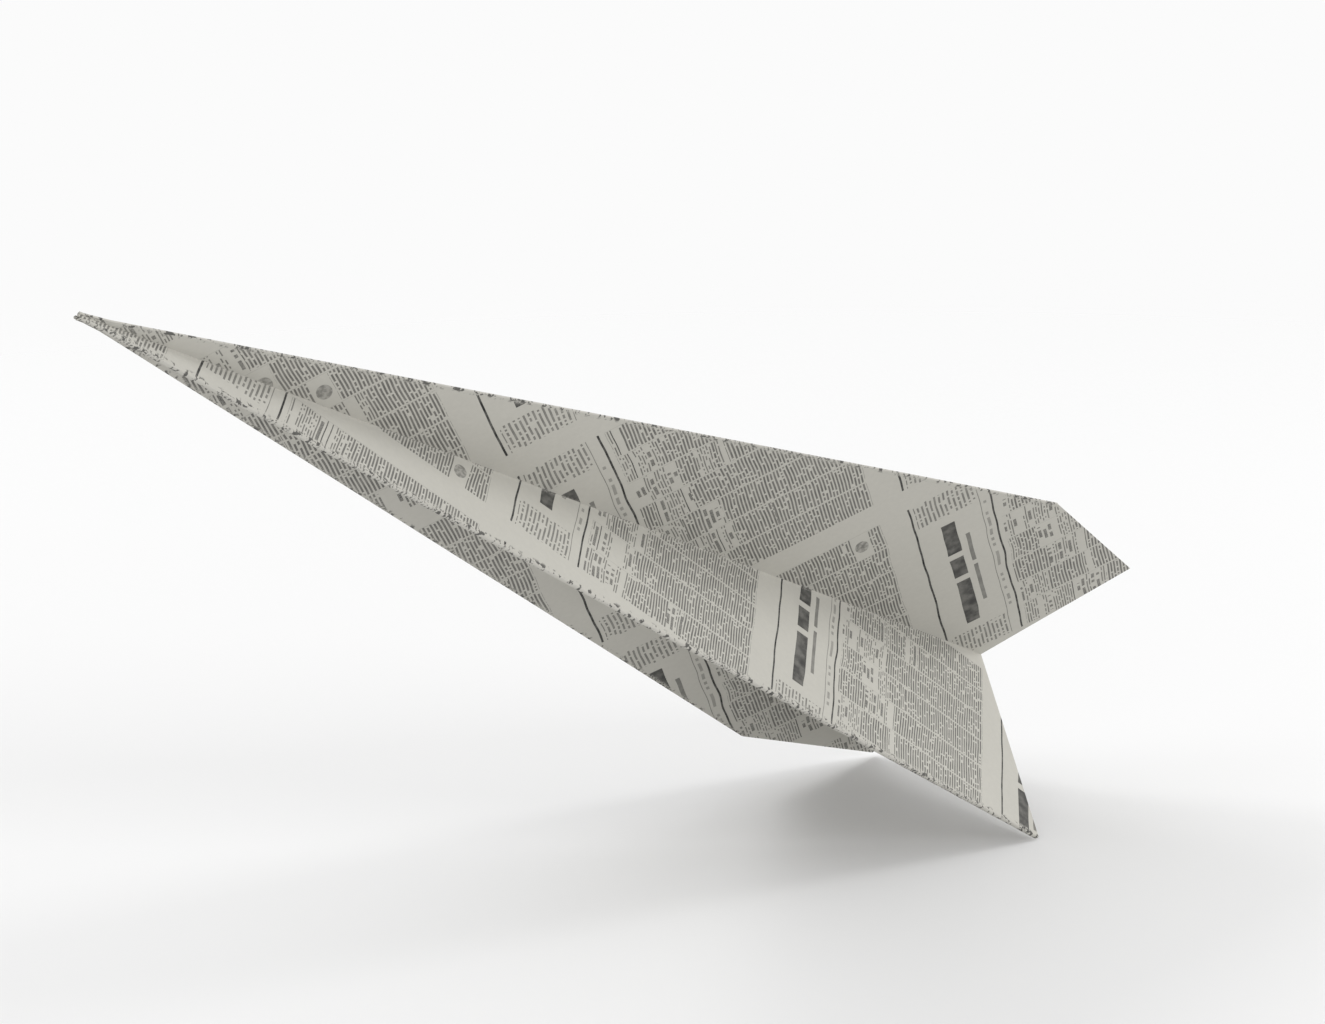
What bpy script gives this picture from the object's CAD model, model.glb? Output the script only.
import math

import bmesh
import bpy
from mathutils import Matrix, Vector


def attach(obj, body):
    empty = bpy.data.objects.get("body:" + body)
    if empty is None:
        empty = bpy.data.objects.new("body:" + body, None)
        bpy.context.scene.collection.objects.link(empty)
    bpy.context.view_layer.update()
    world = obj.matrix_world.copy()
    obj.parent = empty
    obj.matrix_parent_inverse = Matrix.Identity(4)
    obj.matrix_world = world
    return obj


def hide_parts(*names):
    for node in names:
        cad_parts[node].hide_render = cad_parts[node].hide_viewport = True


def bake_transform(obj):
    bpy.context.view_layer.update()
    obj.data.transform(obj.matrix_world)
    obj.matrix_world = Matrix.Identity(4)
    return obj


# Paper airplane in the row frame: metres, nose towards -Y, wings level, +Z up, left wing on +X.
# Sizes below are in millimetres. Along (a) runs from the nose point to the tail on the wings' hinge
# line, and out (b) square to it: towards the wing tip on a wing, and negative down the keel.
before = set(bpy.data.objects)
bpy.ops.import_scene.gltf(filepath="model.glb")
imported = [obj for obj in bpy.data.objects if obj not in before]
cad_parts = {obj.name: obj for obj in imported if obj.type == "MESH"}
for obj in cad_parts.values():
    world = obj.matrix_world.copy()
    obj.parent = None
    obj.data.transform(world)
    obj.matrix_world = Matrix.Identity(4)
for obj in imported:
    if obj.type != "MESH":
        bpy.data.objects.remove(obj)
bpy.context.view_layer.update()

MM = 0.001
SHEET_LENGTH = 297.0
HALF_WIDTH = 207.6 / 2
FOLD = math.radians(11.25)
PAPER = 0.1
PITCH = 0.12  # one layer to the next
KEEL_GAP = 0.06  # middle plane to the innermost layer
HINGE_CLEAR = 0.05
HINGE_X = KEEL_GAP + 3 * PITCH + PAPER + HINGE_CLEAR
ROOT_CLEAR = 0.15  # hinge line to where the flat panels start
GRIP_BACK, GRIP_DROP = 160.0, 16.0
STACK = 3 * PITCH + PAPER
LEADING_INSET = STACK / 2 + 0.02
NOSE_AHEAD = -1.2  # the blunt nose ends a little before the point where the folds would meet
NOSE_HALF = 0.6
CELL = 4.0  # size of the panels' grid
FLAP_RISE = 0.45  # the inner layers stop this far above the keel's bottom
CREASE_DEPTH = 0.6  # how deep the keel's bottom bend is, as a share of its width
LAYERS = ("main", "corner_inner", "corner_outer", "side_flap")
SIDES = (("left", 1), ("right", -1))

# ---------------------------------------------------------------- the flat sheet
def ab(s, t):
    """A point of the flat sheet, s behind the nose and t out from the middle crease, as (along, out)."""
    return (s * math.cos(FOLD) + t * math.sin(FOLD), t * math.cos(FOLD) - s * math.sin(FOLD))


def st(a, b):
    return (a * math.cos(FOLD) - b * math.sin(FOLD), a * math.sin(FOLD) + b * math.cos(FOLD))


def root_end(layer):
    """Where a layer's free edge meets the hinge line, as (s, t)."""
    tan = math.tan(FOLD)
    long = math.sqrt(2) * HALF_WIDTH
    s = {
        "main": SHEET_LENGTH,
        "corner_inner": HALF_WIDTH,
        "corner_outer": long / (1 + tan),
        "side_flap": long / (1 - tan),
    }[layer]
    return (s, s * tan)


def keel_end(layer):
    long = math.sqrt(2) * HALF_WIDTH
    return {
        "main": (SHEET_LENGTH, 0.0),
        "corner_inner": (HALF_WIDTH, 0.0),
        "corner_outer": (long, 0.0),
        "side_flap": (long, 0.0),
    }[layer]


def wing_ends(layer):
    tan = math.tan(2 * FOLD)
    corner = (HALF_WIDTH, HALF_WIDTH * tan)
    tip = (HALF_WIDTH / tan, HALF_WIDTH)
    return {
        "main": [(SHEET_LENGTH, HALF_WIDTH), tip],
        "corner_inner": [corner],
        "corner_outer": [corner],
        "side_flap": [tip],
    }[layer]


def wing_outline(layer):
    """Corners of a wing panel, inset along the leading edge for the bend there."""
    inset = LEADING_INSET / math.cos(FOLD)
    ends = [ab(*p) for p in wing_ends(layer)]
    last = ends[-1]
    ends[-1] = (last[0], last[1] - inset)
    kink = NOSE_HALF / math.tan(FOLD)
    a, b = ab(*root_end(layer))
    nose = [(kink, NOSE_HALF - inset), (NOSE_AHEAD, NOSE_HALF - inset), (NOSE_AHEAD, ROOT_CLEAR)]
    return [(a, ROOT_CLEAR)] + ends + nose


def keel_outline(layer):
    inset = 0.0 if layer == "main" else FLAP_RISE
    a, b = ab(*keel_end(layer))
    kink = NOSE_HALF / math.tan(FOLD)
    low = -NOSE_HALF + inset * 0.6
    bottom = [(a, b + inset), (kink + inset, low), (NOSE_AHEAD, low)]
    return [(ab(*root_end(layer))[0], -ROOT_CLEAR)] + bottom + [(NOSE_AHEAD, -ROOT_CLEAR)]


# ---------------------------------------------------------------- the folded shape
def smooth(x):
    x = min(1.0, max(0.0, x))
    return x * x * (3 - 2 * x)


def wing_lift(a, b, side):
    """Height of the slightly uneven wing over its flat plane."""
    out = max(0.0, b) / 50
    swell = 0.30 * math.sin(math.pi * min(1.0, max(0.0, a / 310))) * smooth(out)
    ripple = 0.05 * math.sin(a / 23 + side) * math.sin(b / 11 + 0.6 * side) * smooth(out * 3)
    return max(0.0, swell + ripple)


def flap_lift(a, b):
    """How far the side flap's free edge stands up off the wing."""
    s, t = st(a, b)
    inside = (math.sqrt(2) * HALF_WIDTH + t - s) / math.sqrt(2)
    return 0.5 * math.exp(-max(0.0, inside) / 9) * smooth(b / 14) * (1 - smooth((b - 30) / 26))


def on_wing(side, a, b, height):
    z = GRIP_DROP + height + wing_lift(a, b, side)
    return Vector((side * (HINGE_X + b), a - GRIP_BACK, z)) * MM


def on_keel(side, a, b, lateral):
    wave = 0.02 * (1 + math.sin(a / 31)) * smooth(-b / 12) * (lateral / 0.5)
    return Vector((side * (lateral + wave), a - GRIP_BACK, GRIP_DROP + b)) * MM


# ---------------------------------------------------------------- how the print lies
# How the pages lie on each face. First the direction across a page, then the one down it: its turn on
# the sheet in degrees, the print's scale along it, and the page's start in millimetres. The pages lie
# slanted on the sheet, and a little out of square.
PRINTS = {
    "keel": ((81, 1.10, -30), (-21.5, 1.03, -189)),
    "wing_left": ((171, 1.01, 283), (72, 1.02, -143)),
    "wing_right": ((213.5, 1.01, 283), (-48.5, 0.95, -62)),
    "back": ((20, 1.00, 12), (107.5, 1.00, 30)),
}


def page_point(name, s, t):
    """Millimetres across a page and down it, from a point of the flat sheet."""
    point = []
    for turn, scale, start in PRINTS[name]:
        way = math.radians(turn)
        point.append(scale * (s * math.cos(way) + t * math.sin(way)) + start)
    return point


def turned_over(s, t):
    """Mirrors a point in the leading-edge fold, so that the print runs on round it."""
    c, n = math.cos(4 * FOLD), math.sin(4 * FOLD)
    return (s * c + t * n, s * n - t * c)


def print_at(kind, layer, side, face, a, b):
    """Page coordinates of a point. The outer face is a wing's underside and a keel's outside."""
    s, t = st(a, b)
    turned = layer in ("corner_outer", "side_flap")
    if turned:
        s, t = turned_over(s, t)
    if (face == "outer") == turned:
        return page_point("back", s, side * t)
    if kind == "keel":
        return page_point("keel", s, side * t)
    return page_point("wing_left" if side > 0 else "wing_right", s, t)


# ---------------------------------------------------------------- material
class Num:
    """A number in a node tree, so that its pattern can be written as a formula."""

    tree = None

    def __init__(self, socket):
        self.socket = socket

    def join(self, kind, *others):
        node = Num.tree.nodes.new("ShaderNodeMath")
        node.operation = kind
        for i, item in enumerate((self,) + others):
            if isinstance(item, Num):
                Num.tree.links.new(item.socket, node.inputs[i])
            else:
                node.inputs[i].default_value = item
        return Num(node.outputs[0])

    def __add__(self, other):
        return self.join("ADD", other)

    def __sub__(self, other):
        return self.join("SUBTRACT", other)

    def __mul__(self, other):
        return self.join("MULTIPLY", other)

    def __truediv__(self, other):
        return self.join("DIVIDE", other)

    def __lt__(self, other):
        return self.join("LESS_THAN", other)

    def __gt__(self, other):
        return self.join("GREATER_THAN", other)

    def floor(self):
        return self.join("FLOOR")

    def fract(self):
        return self.join("FRACT")

    def abs(self):
        return self.join("ABSOLUTE")

    def most(self, other):
        return self.join("MAXIMUM", other)

    def flip(self):
        return (self * -1) + 1

    def between(self, low, high):
        return (self > low) * (self < high)

    def ramp(self, low, high):
        """0 at low and 1 at high, smoothly."""
        node = Num.tree.nodes.new("ShaderNodeMapRange")
        node.interpolation_type = "SMOOTHSTEP"
        Num.tree.links.new(self.socket, node.inputs["Value"])
        node.inputs["From Min"].default_value = low
        node.inputs["From Max"].default_value = high
        return Num(node.outputs["Result"])


def vector(x, y, z=0.0):
    node = Num.tree.nodes.new("ShaderNodeCombineXYZ")
    for i, item in enumerate((x, y, z)):
        if isinstance(item, Num):
            Num.tree.links.new(item.socket, node.inputs[i])
        else:
            node.inputs[i].default_value = item
    return node.outputs[0]


def chance(x, y, z=0.0):
    """A random number from 0 to 1 for each whole x, y, z."""
    node = Num.tree.nodes.new("ShaderNodeTexWhiteNoise")
    node.noise_dimensions = "3D"
    Num.tree.links.new(vector(x, y, z), node.inputs["Vector"])
    return Num(node.outputs["Value"])


def cloud(place, scale, detail=2.0):
    node = Num.tree.nodes.new("ShaderNodeTexNoise")
    node.noise_dimensions = "3D"
    node.inputs["Scale"].default_value = scale
    node.inputs["Detail"].default_value = detail
    Num.tree.links.new(place, node.inputs["Vector"])
    return Num(node.outputs["Fac"])


def uv_numbers(name):
    node = Num.tree.nodes.new("ShaderNodeUVMap")
    node.uv_map = name
    split = Num.tree.nodes.new("ShaderNodeSeparateXYZ")
    Num.tree.links.new(node.outputs["UV"], split.inputs[0])
    return Num(split.outputs[0]), Num(split.outputs[1])


# Sizes of a page of print in millimetres. Pages repeat at each step.
PAGE_WIDE, PAGE_HIGH = 79.0, 74.0
PAGE_STEP_X, PAGE_STEP_Y = 88.0, 81.4
COLUMN = 11.3
BLOCK = 4.8
HEAD_HIGH = 20.8
ROW = 1.36
PAPER_COLOUR = (0.497, 0.485, 0.442, 1)
INK_COLOUR = (0.014, 0.014, 0.015, 1)


def text_lines(u, w, pitch, duty, word, gap, key):
    """Rows of unreadable dashes: a row every pitch, cut into words."""
    row = (w / pitch).floor()
    on_row = (w / pitch).fract() < duty
    cell = (u / word + chance(row, key, 3.0) * 9.0).floor()
    return on_row * (chance(cell, row, key) > gap)


def newspaper(u, w):
    """How much ink there is at a point of the endless print, 0 to 1."""
    here = vector(u * 0.01, w * 0.01)
    wobble = (cloud(here, 7.0, 1.0) - 0.5) * 1.2
    w = w + wobble
    px, py = (u / PAGE_STEP_X).floor(), (w / PAGE_STEP_Y).floor()
    page = px * 7.0 + py * 13.0
    x, y = u - px * PAGE_STEP_X, w - py * PAGE_STEP_Y
    on_page = x.between(0.0, PAGE_WIDE) * (y < PAGE_HIGH)
    # body: seven columns, each cut into blocks of one kind
    column = (x / COLUMN).floor()
    cx = x - column * COLUMN
    in_column = cx.between(0.2, COLUMN - 0.5)
    shifted = y + chance(column, page, 1.0) * BLOCK
    block = (shifted / BLOCK).floor()
    kind = chance(block, column, page)
    deep = y.ramp(30.0, 52.0)
    body = text_lines(x, y, 0.84, 0.55, 0.66, 0.12, column) * 0.75
    # elsewhere, each row is a heading, a rule, a blank or small lines
    row = (y / ROW).floor()
    pick = chance(row, column, page)
    in_row = (y / ROW).fract()
    word = (x / 1.15 + chance(row, column, 3.0) * 9.0).floor()
    reach = (cx - 5.3).abs() < chance(row, column, 8.0) * 3.6 + 1.4
    heading = (in_row < 0.6) * (chance(word, row, column) > 0.16) * reach
    heading = heading * (cloud(vector(u, w), 3.2, 1.0).ramp(0.3, 0.7) * 0.35 + 0.5)
    lines = text_lines(x, y, 0.68, 0.46, 0.8, 0.25, column + 20.0) * 0.7
    mixed = heading * (pick < 0.30) + (in_row < 0.2) * (pick > 0.93) * 0.9
    mixed = mixed + lines * pick.between(0.42, 0.93)
    is_picture = kind > 0.965
    is_body = (kind < deep * 0.62 + 0.30) * is_picture.flip()
    patch = cloud(vector(u, w), 0.9, 2.0).ramp(0.35, 0.65) * 0.35 + 0.3
    down = shifted - block * BLOCK - BLOCK / 2
    oval = ((cx - 5.3) * (cx - 5.3) / 6.0 + down * down / 3.0) < 1.0
    text = body * is_body + mixed * (is_body + is_picture).flip() + oval * is_picture * patch
    text = text * in_column
    gutter = (cx > COLUMN - 0.42) * (cx < COLUMN - 0.25) * 0.2
    text = text.most(gutter) * (y > HEAD_HIGH + 1.2)
    # in place of a title, three plain bars over two thin ones
    mx = x - PAGE_WIDE / 2
    my = y - 10.0
    thick = mx.between(-25.0, -3.5).most(mx.between(-1.0, 8.0)).most(mx.between(10.5, 25.0))
    thin = mx.between(-17.0, 1.5).most(mx.between(3.5, 17.0))
    title = (thick * my.between(-3.4, 0.4)).most(thin * my.between(2.2, 3.3) * 0.7) * 0.92
    ears = text_lines(x, y, 1.15, 0.45, 0.7, 0.2, 60.0) * 0.65
    ears = ears * (x < 10.8).most(x > 68.4) * y.between(1.4, HEAD_HIGH - 4.0)
    dates = text_lines(x, y - 18.2, 1.3, 0.6, 1.4, 0.35, 70.0) * 0.45
    dates = dates * y.between(18.2, 19.5) * x.between(12.0, 67.0)
    rules = y.between(0.0, 0.52)
    rules = rules.most(y.between(17.3, 17.52) * 0.6).most(y.between(20.15, 20.65))
    head = title.most(ears).most(dates) * (y < HEAD_HIGH)
    ink = text.most(head).most(rules) * on_page
    uneven = cloud(vector(u, w), 0.35, 3.0).ramp(0.2, 0.75) * 0.25 + 0.75
    return ink * uneven


def make_newsprint():
    material = bpy.data.materials.new("printed newsprint")
    material.use_nodes = True
    tree = material.node_tree
    Num.tree = tree
    shader = tree.nodes["Principled BSDF"]
    u, w = uv_numbers("print")
    ink = newspaper(u, w)
    root, edge = uv_numbers("folds")
    place = tree.nodes.new("ShaderNodeTexCoord").outputs["Object"]
    grain = cloud(place, 900.0, 3.0)
    fleck = cloud(place, 2600.0, 2.0)
    tone = cloud(place, 22.0, 2.0)
    # worn ink along the folds, most of all on the keel's bottom and the leading edges
    fold = root.ramp(0.8, 0.1) * 0.4
    fold = fold.most(edge.ramp(1.6, 0.3) * 0.95)
    worn = fold * fleck.ramp(0.42, 0.56)
    speck = edge.ramp(1.5, 0.3) * grain.ramp(0.55, 0.61) * 0.8
    ink = (ink * worn.flip()).most(speck)
    shade = (tone - 0.5) * 0.10 + (grain - 0.5) * 0.10 + 1.0
    mix = tree.nodes.new("ShaderNodeMix")
    mix.data_type = "RGBA"
    mix.inputs["A"].default_value = PAPER_COLOUR
    mix.inputs["B"].default_value = INK_COLOUR
    tree.links.new(ink.socket, mix.inputs["Factor"])
    scale = tree.nodes.new("ShaderNodeVectorMath")
    scale.operation = "SCALE"
    tree.links.new(mix.outputs["Result"], scale.inputs[0])
    tree.links.new(shade.socket, scale.inputs["Scale"])
    tree.links.new(scale.outputs[0], shader.inputs["Base Color"])
    rough = (grain - 0.5) * 0.12 + ink * -0.12 + 0.9
    tree.links.new(rough.socket, shader.inputs["Roughness"])
    shader.inputs["Specular IOR Level"].default_value = 0.25
    bump = tree.nodes.new("ShaderNodeBump")
    bump.inputs["Strength"].default_value = 0.25
    bump.inputs["Distance"].default_value = 0.00003
    height = grain * 0.7 + fleck * 0.3 + fold * 0.4
    tree.links.new(height.socket, bump.inputs["Height"])
    tree.links.new(bump.outputs[0], shader.inputs["Normal"])
    return material


NEWSPRINT = make_newsprint()


# ---------------------------------------------------------------- meshes
def flat_grid(outline):
    """The outline as a flat face, cut into a grid of cells."""
    bm = bmesh.new()
    bm.faces.new([bm.verts.new((a, b, 0)) for a, b in outline])
    for axis in (0, 1):
        values = [p[axis] for p in outline]
        cut = math.floor(min(values) / CELL + 1) * CELL
        while cut < max(values) - 0.01:
            spot = Vector((cut, 0, 0)) if axis == 0 else Vector((0, cut, 0))
            normal = Vector((1, 0, 0)) if axis == 0 else Vector((0, 1, 0))
            geometry = bm.verts[:] + bm.edges[:] + bm.faces[:]
            bmesh.ops.bisect_plane(bm, geom=geometry, dist=1e-5, plane_co=spot, plane_no=normal)
            cut += CELL
    bm.verts.ensure_lookup_table()
    points = [(v.co.x, v.co.y) for v in bm.verts]
    faces = [[v.index for v in f.verts] for f in bm.faces]
    rim = []
    for e in bm.edges:
        if len(e.link_faces) == 1:
            loop = e.link_loops[0]
            rim.append((loop.vert.index, loop.link_loop_next.vert.index))
    bm.free()
    return points, faces, rim


def finish_mesh(name, verts, faces, kinds, uv_of, folds_of):
    """A mesh object with both UV maps. kinds names each face's side of the paper."""
    mesh = bpy.data.meshes.new(name)
    mesh.from_pydata(verts, [], faces)
    bm = bmesh.new()
    bm.from_mesh(mesh)
    bmesh.ops.recalc_face_normals(bm, faces=bm.faces[:])
    for e in bm.edges:
        if len(e.link_faces) == 2 and e.calc_face_angle(0.0) > 0.7:
            e.smooth = False
    bm.to_mesh(mesh)
    bm.free()
    printed = mesh.uv_layers.new(name="print")
    folds = mesh.uv_layers.new(name="folds")
    for polygon, kind in zip(mesh.polygons, kinds):
        polygon.use_smooth = True
        for i in polygon.loop_indices:
            v = mesh.loops[i].vertex_index
            printed.data[i].uv = uv_of(v, kind)
            folds.data[i].uv = folds_of(v)
    mesh.materials.append(NEWSPRINT)
    obj = bpy.data.objects.new(name, mesh)
    bpy.context.scene.collection.objects.link(obj)
    return obj


def panel(kind, layer, side_name, side):
    """One layer of paper between two folds, as a plate of real thickness."""
    outline = wing_outline(layer) if kind == "wing" else keel_outline(layer)
    points, faces, rim = flat_grid(outline)
    step = LAYERS.index(layer)
    count = len(points)
    if kind == "wing":
        low = HINGE_CLEAR + step * PITCH
        extra = [flap_lift(a, b) if layer == "side_flap" else 0.0 for a, b in points]
        outer = [on_wing(side, a, b, low + e) for (a, b), e in zip(points, extra)]
        inner = [on_wing(side, a, b, low + PAPER + e) for (a, b), e in zip(points, extra)]
    else:
        near = KEEL_GAP + (3 - step) * PITCH
        outer = [on_keel(side, a, b, near + PAPER) for a, b in points]
        inner = [on_keel(side, a, b, near) for a, b in points]
    walls = [[i, j, j + count, i + count] for i, j in rim]
    every = faces + [[i + count for i in f] for f in faces] + walls
    kinds = ["outer"] * len(faces) + ["inner"] * len(faces) + ["outer"] * len(rim)

    def uv_of(v, face):
        return print_at(kind, layer, side, face, *points[v % count])

    def folds_of(v):
        a, b = points[v % count]
        edge = a * math.sin(FOLD) - abs(b) * math.cos(FOLD)
        return (abs(b), max(0.0, edge) + (0.0 if a > 6 else 2.0))

    name = "%s_%s_%s" % (side_name, kind, layer)
    obj = finish_mesh("paper_" + name, outer + inner, every, kinds, uv_of, folds_of)
    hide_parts(name)
    return obj


def sweep(name, sections, uv_of, folds_of):
    """A closed tube through sections with the same number of points. Its ends are capped."""
    verts = [p for ring in sections for p in ring]
    n = len(sections[0])
    faces = []
    for k in range(len(sections) - 1):
        for i in range(n):
            j = (i + 1) % n
            faces.append([k * n + i, k * n + j, (k + 1) * n + j, (k + 1) * n + i])
    faces.append(list(range(n)))
    faces.append([(len(sections) - 1) * n + i for i in range(n)])
    obj = finish_mesh(name, verts, faces, ["outer"] * len(faces), uv_of, folds_of)
    return obj


def band(radius, start, stop, steps=8):
    """Cross-section of bent paper: (x, y) round an arc of that outer radius, out and back."""
    turns = [math.radians(start + (stop - start) * i / steps) for i in range(steps + 1)]
    outer = [(radius * math.cos(q), radius * math.sin(q)) for q in turns]
    inner = [((radius - PAPER) * math.cos(q), (radius - PAPER) * math.sin(q)) for q in reversed(turns)]
    return outer + inner


def run(start, stop, step=6.0):
    count = max(2, int(abs(stop - start) / step))
    return [start + (stop - start) * i / count for i in range(count + 1)]


def leading_fold(side_name, side, length, radius, node):
    """The rounded edge where the sheet turns over along the wing's leading edge."""
    profile = band(radius, -90, 90)
    middle = HINGE_CLEAR + STACK / 2
    sections, spots = [], []
    for r in run(0.0, length):
        ring = []
        for x, y in profile:
            out = x - LEADING_INSET
            a = r * math.cos(FOLD) - out * math.sin(FOLD)
            b = r * math.sin(FOLD) + out * math.cos(FOLD)
            blunt = max(0.0, NOSE_HALF - LEADING_INSET - r * math.sin(FOLD))
            a, b = a + NOSE_AHEAD * (1 - smooth(r / 8)), b + blunt
            ring.append(on_wing(side, a, b, middle + y))
            spots.append((a, b))
        sections.append(ring)
    obj = sweep(
        "paper_" + node, sections,
        lambda v, f: print_at("wing", "main", side, "outer", *spots[v]),
        lambda v: (9.0, 0.0),
    )
    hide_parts(node)
    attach(obj, side_name + "_wing")


def corner_fold(side_name, side):
    """The 45 degree fold of the sheet's corner, which lies inside the keel's bottom."""
    radius = (PITCH + PAPER) / 2
    profile = band(radius, 180, 360)
    rise = FLAP_RISE + radius
    sections, spots = [], []
    for r in run(4.0, math.sqrt(2) * HALF_WIDTH - 1):
        ring = []
        for x, y in profile:
            a, b = ab(r, rise + y)
            ring.append(on_keel(side, a, b, KEEL_GAP + radius + x))
            spots.append((a, b))
        sections.append(ring)
    obj = sweep(
        "paper_%s_corner_fold" % side_name, sections,
        lambda v, f: page_point("back", *st(*spots[v])),
        lambda v: (9.0, 0.5),
    )
    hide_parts(side_name + "_corner_fold")
    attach(obj, side_name + "_keel")


def centre_crease():
    """The keel's bottom: the main layer turns from the left half to the right half."""
    outer = KEEL_GAP + 3 * PITCH + PAPER
    profile = band(outer, 180, 360, steps=12)
    sections, spots = [], []
    for r in run(NOSE_AHEAD, SHEET_LENGTH, 3.0):
        ring = []
        blunt = max(0.0, NOSE_HALF - max(0.0, r) * math.sin(FOLD))
        for x, y in profile:
            a, b = ab(r, y * CREASE_DEPTH)
            b = b - blunt
            jag = 0.10 * math.sin(r * 1.9) * math.sin(r * 0.73 + 1.3) + 0.06 * math.sin(r * 4.7)
            ring.append(Vector((x, a - GRIP_BACK, GRIP_DROP + b + jag * min(1.0, -y * 3))) * MM)
            spots.append((r, x))
        sections.append(ring)
    obj = sweep(
        "paper_centre_crease", sections,
        lambda v, f: page_point("keel", *spots[v]),
        lambda v: (9.0, 0.3),
    )
    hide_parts("centre_crease")
    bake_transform(obj)


def wing_crease(side_name, side):
    """Where all four layers turn from the keel into the wing, each round its own arc."""
    profiles = []
    for step in range(4):
        radius = HINGE_CLEAR + step * PITCH + PAPER
        arc = band(radius, 180, 90, steps=6)
        half = len(arc) // 2
        outer, inner = arc[:half], arc[half:]
        start = [(-radius, -ROOT_CLEAR)] + outer + [(ROOT_CLEAR, radius)]
        back = [(ROOT_CLEAR, radius - PAPER)] + inner + [(-radius + PAPER, -ROOT_CLEAR)]
        profiles.append((LAYERS[step], start + back))
    verts, faces, spots = [], [], []
    for layer, profile in profiles:
        base, n = len(verts), len(profile)
        stops = run(NOSE_AHEAD, ab(*root_end(layer))[0])
        for a in stops:
            for x, z in profile:
                verts.append(Vector((side * (HINGE_X + x), a - GRIP_BACK, GRIP_DROP + z)) * MM)
                spots.append((a, x + z, layer))
        for k in range(len(stops) - 1):
            for i in range(n):
                j = (i + 1) % n
                this, after = base + k * n, base + (k + 1) * n
                faces.append([this + i, this + j, after + j, after + i])
        faces.append([base + i for i in range(n)])
        faces.append([base + (len(stops) - 1) * n + i for i in range(n)])

    def uv_of(v, face):
        a, b, layer = spots[v]
        return print_at("keel", layer, side, "outer" if layer == "main" else "inner", a, b)

    name = "paper_%s_wing_crease" % side_name
    obj = finish_mesh(name, verts, faces, ["outer"] * len(faces), uv_of, lambda v: (0.2, 9.0))
    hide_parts(side_name + "_wing_crease")
    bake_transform(obj)


for side_name, side in SIDES:
    for layer in LAYERS:
        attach(panel("keel", layer, side_name, side), side_name + "_keel")
        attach(panel("wing", layer, side_name, side), side_name + "_wing")
    reach = HALF_WIDTH / math.sin(2 * FOLD) - 0.4
    leading_fold(side_name, side, reach, STACK / 2, side_name + "_leading_fold")
    reach = HALF_WIDTH / math.cos(2 * FOLD) - 0.4
    leading_fold(side_name, side, reach, (PITCH + PAPER) / 2, side_name + "_corner_leading_fold")
    corner_fold(side_name, side)
    wing_crease(side_name, side)
centre_crease()

# ---------------------------------------------------------------- camera
VIEW_AZIMUTH, VIEW_ELEVATION, VIEW_ROLL = 30.35, -31.89, -21.02  # degrees
VIEW_DISTANCE, VIEW_LENS = 0.7288, 88.56
VIEW_AIM = Vector((0.0111, -0.0011, 0.0106))
LOOK_DOWN = math.radians(13.81)  # the camera's angle below level, over the floor it sees

azimuth, elevation = math.radians(VIEW_AZIMUTH), math.radians(VIEW_ELEVATION)
back = Vector((
    math.sin(azimuth) * math.cos(elevation),
    -math.cos(azimuth) * math.cos(elevation),
    math.sin(elevation),
))
camera = bpy.data.objects.new("camera", bpy.data.cameras.new("camera"))
bpy.context.scene.collection.objects.link(camera)
level = (-back).to_track_quat("-Z", "Y").to_matrix()
turn = level @ Matrix.Rotation(math.radians(VIEW_ROLL), 3, "Z")
camera.matrix_world = Matrix.Translation(VIEW_AIM + back * VIEW_DISTANCE) @ turn.to_4x4()
camera.data.lens = VIEW_LENS
camera.data.sensor_width = 36
camera.data.clip_start, camera.data.clip_end = 0.01, 60
bpy.context.scene.camera = camera

# ---------------------------------------------------------------- floor and light
FLOOR_GAP = 0.0006  # under the keel's lowest corner
FLOOR_RADIUS = 8.0
FADE_START, FADE_END = 0.3, 0.95  # distances at which the floor starts to fade and is gone
LAMP_DISTANCE = 1.6

right, image_up, ahead = turn.col[0], turn.col[1], -back
up = (image_up * math.cos(LOOK_DOWN) - ahead * math.sin(LOOK_DOWN)).normalized()
forward = up.cross(right).normalized()
keel_corner = Vector((0, ab(SHEET_LENGTH, 0)[0] - GRIP_BACK, GRIP_DROP + ab(SHEET_LENGTH, 0)[1])) * MM

floor_mesh = bpy.data.meshes.new("floor")
bm = bmesh.new()
bmesh.ops.create_circle(bm, cap_ends=True, radius=FLOOR_RADIUS, segments=96)
bm.to_mesh(floor_mesh)
bm.free()
floor = bpy.data.objects.new("floor", floor_mesh)
bpy.context.scene.collection.objects.link(floor)
middle = keel_corner - up * FLOOR_GAP
floor_turn = Matrix((right, forward, up)).transposed().to_4x4()
floor.matrix_world = Matrix.Translation(middle) @ floor_turn

paint = bpy.data.materials.new("floor")
paint.use_nodes = True
tree = paint.node_tree
shader = tree.nodes["Principled BSDF"]
shader.inputs["Base Color"].default_value = (0.86, 0.86, 0.86, 1)
shader.inputs["Roughness"].default_value = 0.9
shader.inputs["Specular IOR Level"].default_value = 0.1
clear = tree.nodes.new("ShaderNodeBsdfTransparent")
either = tree.nodes.new("ShaderNodeMixShader")
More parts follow.
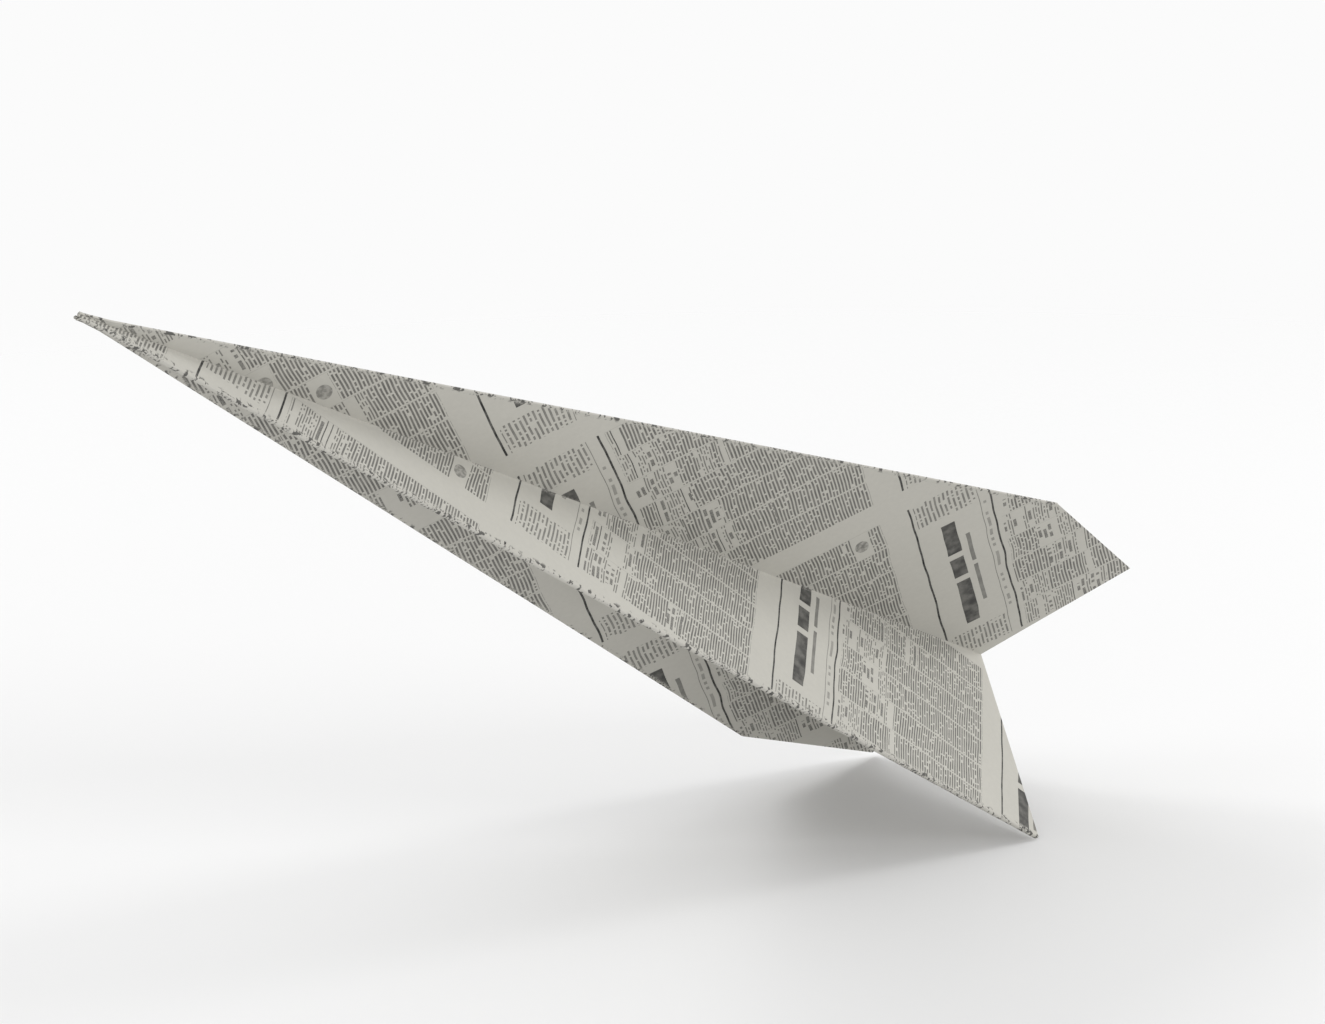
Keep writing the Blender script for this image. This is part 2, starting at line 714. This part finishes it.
# The floor fades into the backdrop with distance. From below it isn't seen at all, so that the
# dart shows from every side.
Num.tree = tree
below = Num(tree.nodes.new("ShaderNodeNewGeometry").outputs["Backfacing"])
to_camera = Num(tree.nodes.new("ShaderNodeLightPath").outputs["Is Camera Ray"])
distance = tree.nodes.new("ShaderNodeVectorMath")
distance.operation = "LENGTH"
tree.links.new(tree.nodes.new("ShaderNodeTexCoord").outputs["Object"], distance.inputs[0])
faded = Num(distance.outputs["Value"]).ramp(FADE_START, FADE_END)
tree.links.new((faded.most(below) * to_camera).socket, either.inputs[0])
tree.links.new(shader.outputs[0], either.inputs[1])
tree.links.new(clear.outputs[0], either.inputs[2])
tree.links.new(either.outputs[0], tree.nodes["Material Output"].inputs["Surface"])
floor_mesh.materials.append(paint)

world = bpy.data.worlds.new("world")
bpy.context.scene.world = world
world.use_nodes = True
tree = world.node_tree
sky = tree.nodes["Background"]
sky.inputs["Color"].default_value = (1, 1, 1, 1)
sky.inputs["Strength"].default_value = 0.77
plain = tree.nodes.new("ShaderNodeBackground")
plain.inputs["Color"].default_value = (0.965, 0.965, 0.965, 1)
pick = tree.nodes.new("ShaderNodeMixShader")
tree.links.new(tree.nodes.new("ShaderNodeLightPath").outputs["Is Camera Ray"], pick.inputs[0])
tree.links.new(sky.outputs[0], pick.inputs[1])
tree.links.new(plain.outputs[0], pick.inputs[2])
tree.links.new(pick.outputs[0], tree.nodes["World Output"].inputs["Surface"])


def lamp(name, azimuth, elevation, size, power):
    """A soft square lamp aimed at the dart. Azimuth 0 is behind it and 90 the picture's right."""
    light = bpy.data.lights.new(name, "AREA")
    light.size, light.energy = size, power
    obj = bpy.data.objects.new(name, light)
    bpy.context.scene.collection.objects.link(obj)
    turned, raised = math.radians(azimuth), math.radians(elevation)
    level_way = right * math.sin(turned) + forward * math.cos(turned)
    spot = (level_way * math.cos(raised) + up * math.sin(raised)) * LAMP_DISTANCE
    obj.matrix_world = Matrix.Translation(spot) @ (-spot).to_track_quat("-Z", "Y").to_matrix().to_4x4()


lamp("left", 300, 42, 0.5, 3.9)
lamp("left_back", 328, 38, 0.5, 2.0)
lamp("left_front", 240, 42, 0.5, 0.9)
lamp("right", 66, 13, 0.3, 6.6)
lamp("right_front", 125, 24, 0.4, 6.0)
lamp("back", 0, 10, 0.35, 0.65)
bpy.context.scene.view_settings.view_transform = "Standard"
